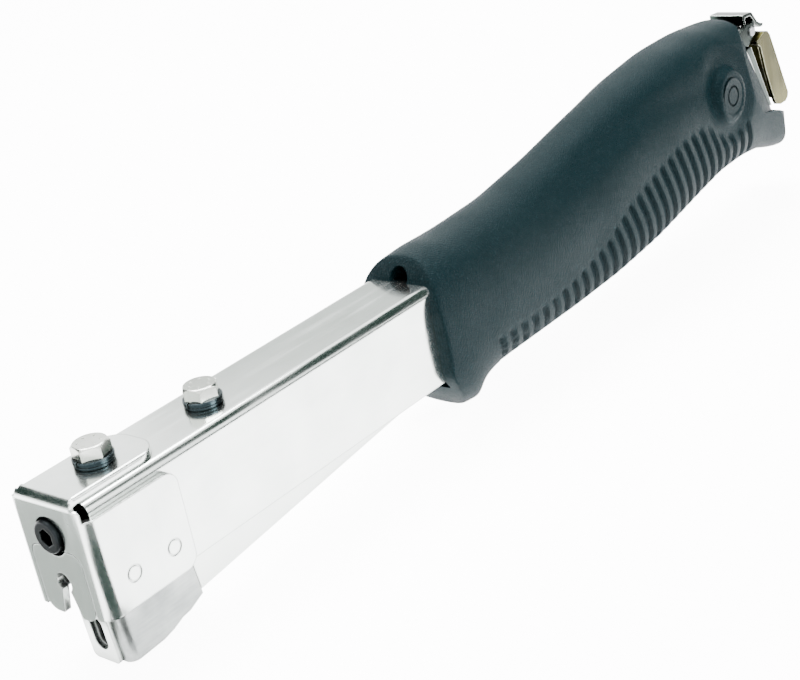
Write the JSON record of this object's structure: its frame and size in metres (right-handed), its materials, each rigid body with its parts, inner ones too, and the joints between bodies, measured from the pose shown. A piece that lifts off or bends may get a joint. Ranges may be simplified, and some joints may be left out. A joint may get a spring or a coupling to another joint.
{
  "type": "hammer tacker",
  "caption": "Swung stapler with a folded steel casing, a hinged sprung magazine that drives staples on impact, and a moulded grip with a rear loading catch.",
  "frame": {"origin": "under the middle of the tool, level with the lowest point of the nose at rest", "axes": "+X from the striking head to the butt, +Z from the staple exit to the bolts on top, +Y across the tool"},
  "size_m": [0.325, 0.0334, 0.0678],
  "materials": {
    "plated_steel": "bright nickel-chrome plate, lightly handled",
    "ground_steel": "hardened steel, ground across the grain",
    "bolt_steel": "bright zinc plate",
    "dark_washer": "oil-darkened spring steel",
    "black_oxide": "black oxide",
    "tool_steel": "plain machined steel",
    "spring_wire": "drawn spring wire",
    "yellow_zinc": "yellow chromated zinc, brushed",
    "grip_moulding": "fine leather-grained moulding, dark slate green",
    "buffer_rubber": "black rubber"
  },
  "bodies": {
    "frame": {"casing": "plated_steel", "head_cap": "plated_steel", "front_guide": "plated_steel", "front_screw": "black_oxide", "driver_block": "tool_steel", "hex_bolts": "bolt_steel", "lock_washers": "dark_washer", "flat_washers": "bolt_steel", "anchor_nut": "tool_steel", "stop_buffer": "buffer_rubber", "spring_cup": "tool_steel", "return_spring": "spring_wire", "grip": "grip_moulding", "grip_rivets": "tool_steel", "pivot_pin": "tool_steel", "pivot_caps": "grip_moulding", "rear_bracket": "plated_steel", "bracket_rivets": "tool_steel", "catch_pin": "tool_steel", "catch_spring": "spring_wire"},
    "driver": {"driver_blade": "ground_steel"},
    "magazine": {"nose_shoe": "ground_steel", "nose_tongue": "plated_steel", "tongue_rivet": "tool_steel", "magazine_channel": "plated_steel", "staple_rail": "tool_steel", "spring_perch": "tool_steel"},
    "loader": {"guide_rod": "tool_steel", "loader_yoke": "yellow_zinc", "pusher_spring": "spring_wire"},
    "pusher": {"pusher": "tool_steel"},
    "catch": {"catch": "plated_steel"}
  },
  "joints": [
    {"name": "magazine_hinge", "type": "hinge", "parent": "frame", "child": "magazine", "pos_m": [0.1142, 0, 0.04675], "axis": [0, 1, 0], "range_deg": [0, 2.88], "stiffness_Nm_per_rad": 80, "springref_deg": -3.44, "deforming": ["return_spring"]},
    {"name": "blade_swing", "type": "hinge", "parent": "frame", "child": "driver", "pos_m": [-0.1553, 0, 0.04075], "axis": [0, 1, 0], "range_deg": [0, 2.88]},
    {"name": "loader_slide", "type": "slide", "parent": "magazine", "child": "loader", "axis": [0.9943, 0, 0.1063], "range_m": [0, 0.2]},
    {"name": "pusher_slide", "type": "slide", "parent": "loader", "child": "pusher", "axis": [0.9943, 0, 0.1063], "range_m": [0, 0.2], "stiffness_N_per_m": 60, "springref_m": -0.05, "deforming": ["pusher_spring"]},
    {"name": "catch_hinge", "type": "hinge", "parent": "frame", "child": "catch", "pos_m": [0.1437, 0, 0.05915], "axis": [0, 1, 0], "range_deg": [-12, 0], "stiffness_Nm_per_rad": 0.15, "springref_deg": 20.05}
  ],
  "couplings": [
    {"joint": "blade_swing", "follows": "magazine_hinge", "ratio": 1}
  ]
}
